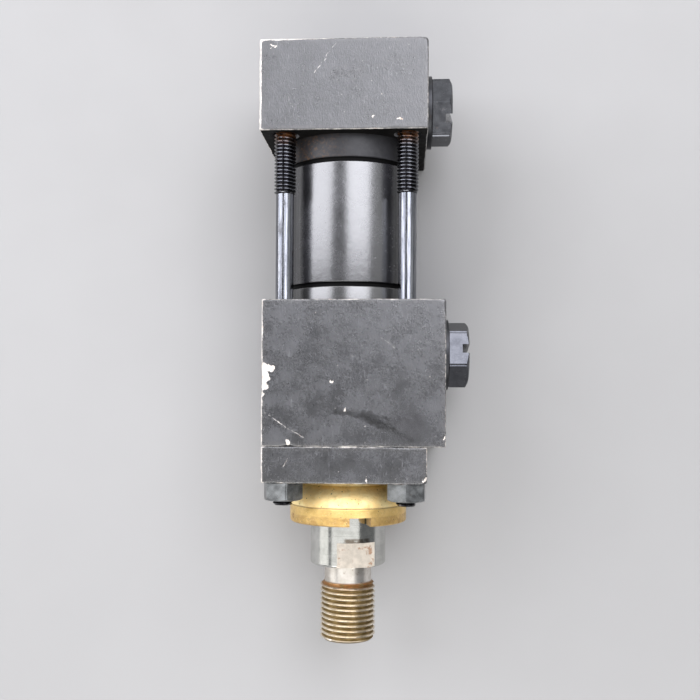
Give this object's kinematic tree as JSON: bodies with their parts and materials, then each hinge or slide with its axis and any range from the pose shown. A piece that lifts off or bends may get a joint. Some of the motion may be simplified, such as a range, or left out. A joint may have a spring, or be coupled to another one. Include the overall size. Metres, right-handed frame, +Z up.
{
  "type": "tie-rod cylinder",
  "caption": "Small square-head tie-rod fluid cylinder with plugged side ports, a flared bronze rod gland and a threaded piston rod that slides and turns.",
  "frame": {"origin": "on the cylinder's axis, at the front face of the gland's rim", "axes": "+Y along the axis from the rod end towards the rear cap, +X towards the ports, +Z up from the face the cylinder lies on"},
  "size_m": [0.0583, 0.168, 0.0453],
  "materials": {
    "black_paint": "satin, worn on edges",
    "gloss_black_paint": "gloss",
    "bronze": "turned and stained",
    "tie_rod_steel": "bright drawn",
    "nut_steel": "dark oxide",
    "plug_black": "satin",
    "bonded_washer": "dark zinc",
    "hard_chrome": "ground and polished",
    "piston_iron": "turned",
    "lock_nut_steel": "plain",
    "seal_rubber": "matte",
    "seal_plastic": "matte",
    "wear_ring_plastic": "matte",
    "wiper_plastic": "matte"
  },
  "bodies": {
    "housing": {"rear_cap": "black_paint", "tube": "gloss_black_paint", "head": "black_paint", "retainer_plate": "black_paint", "gland": "bronze", "tie_rod_1": "tie_rod_steel", "tie_rod_2": "tie_rod_steel", "tie_rod_3": "tie_rod_steel", "tie_rod_4": "tie_rod_steel", "tie_rod_nut_1": "nut_steel", "tie_rod_nut_2": "nut_steel", "tie_rod_nut_3": "nut_steel", "tie_rod_nut_4": "nut_steel", "front_port_plug": "plug_black", "rear_port_plug": "plug_black", "front_port_seal": "bonded_washer", "rear_port_seal": "bonded_washer", "rod_wiper": "wiper_plastic", "rod_seal_outer": "seal_plastic", "rod_seal_inner": "seal_plastic", "gland_o_ring": "seal_rubber", "head_o_ring": "seal_rubber", "cap_o_ring": "seal_rubber"},
    "piston_rings": {"piston_seal_ring": "seal_plastic", "piston_energizer_ring": "seal_rubber", "piston_wear_ring_front": "wear_ring_plastic", "piston_wear_ring_rear": "wear_ring_plastic"},
    "rod": {"piston_rod": "hard_chrome", "piston": "piston_iron", "piston_lock_nut": "lock_nut_steel", "piston_o_ring": "seal_rubber"}
  },
  "joints": [
    {"name": "rod_slide", "type": "slide", "parent": "housing", "child": "piston_rings", "axis": [0, -1, 0], "range_m": [0, 0.018]},
    {"name": "rod_spin", "type": "hinge", "parent": "piston_rings", "child": "rod", "pos_m": [0, 0, 0], "axis": [0, -1, 0], "continuous": true}
  ]
}
